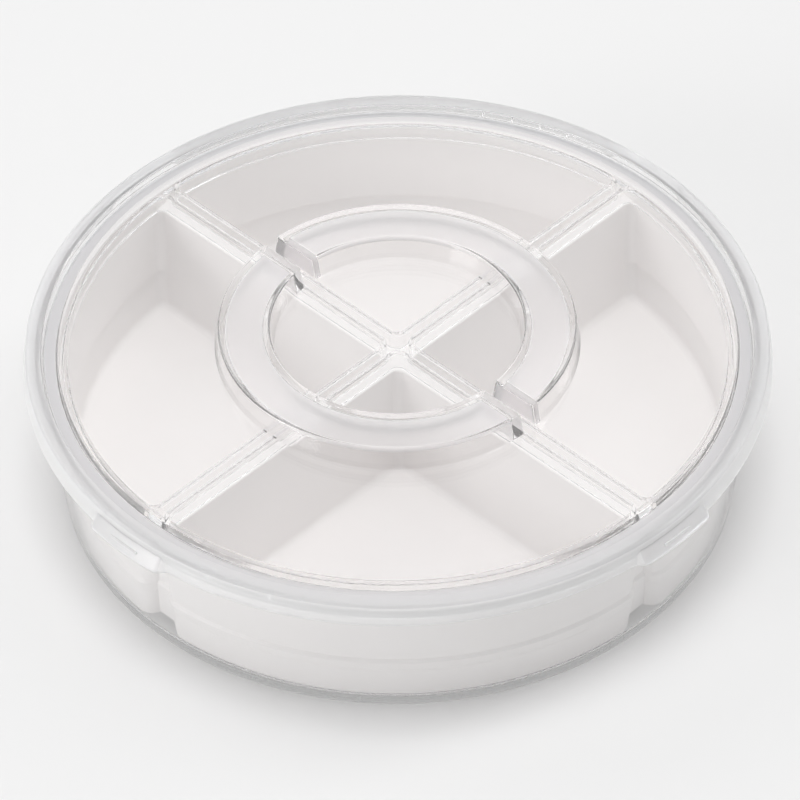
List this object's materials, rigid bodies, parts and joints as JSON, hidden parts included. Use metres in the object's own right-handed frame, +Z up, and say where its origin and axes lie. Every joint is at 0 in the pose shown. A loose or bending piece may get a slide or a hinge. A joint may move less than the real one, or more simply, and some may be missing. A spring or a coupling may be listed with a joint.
{
  "type": "compartment food container",
  "caption": "Round clear food container with a white inner tray divided into quarter pockets and a clear press-fit lid with a raised ring.",
  "frame": {"origin": "centre of the bowl's flat underside", "axes": "+Z up through the lid; the pockets open towards +X, +Y, -X and -Y, and the pictured front is -Y"},
  "size_m": [0.1914, 0.1914, 0.0484],
  "materials": {
    "bowl_plastic": "clear, polished",
    "tray_plastic": "warm white, satin",
    "lid_plastic": "clear with a frosted inside to the raised ring"
  },
  "bodies": {
    "bowl_body": {"outer_bowl": "bowl_plastic"},
    "tray_body": {"compartment_tray": "tray_plastic"},
    "lid_body": {"lid": "lid_plastic"}
  },
  "joints": [
    {"name": "tray_lift", "type": "slide", "parent": "bowl_body", "child": "tray_body", "axis": [0, 0, 1], "range_m": [0, 0.045]},
    {"name": "lid_lift", "type": "slide", "parent": "tray_body", "child": "lid_body", "axis": [0, 0, 1], "range_m": [0, 0.06]}
  ]
}
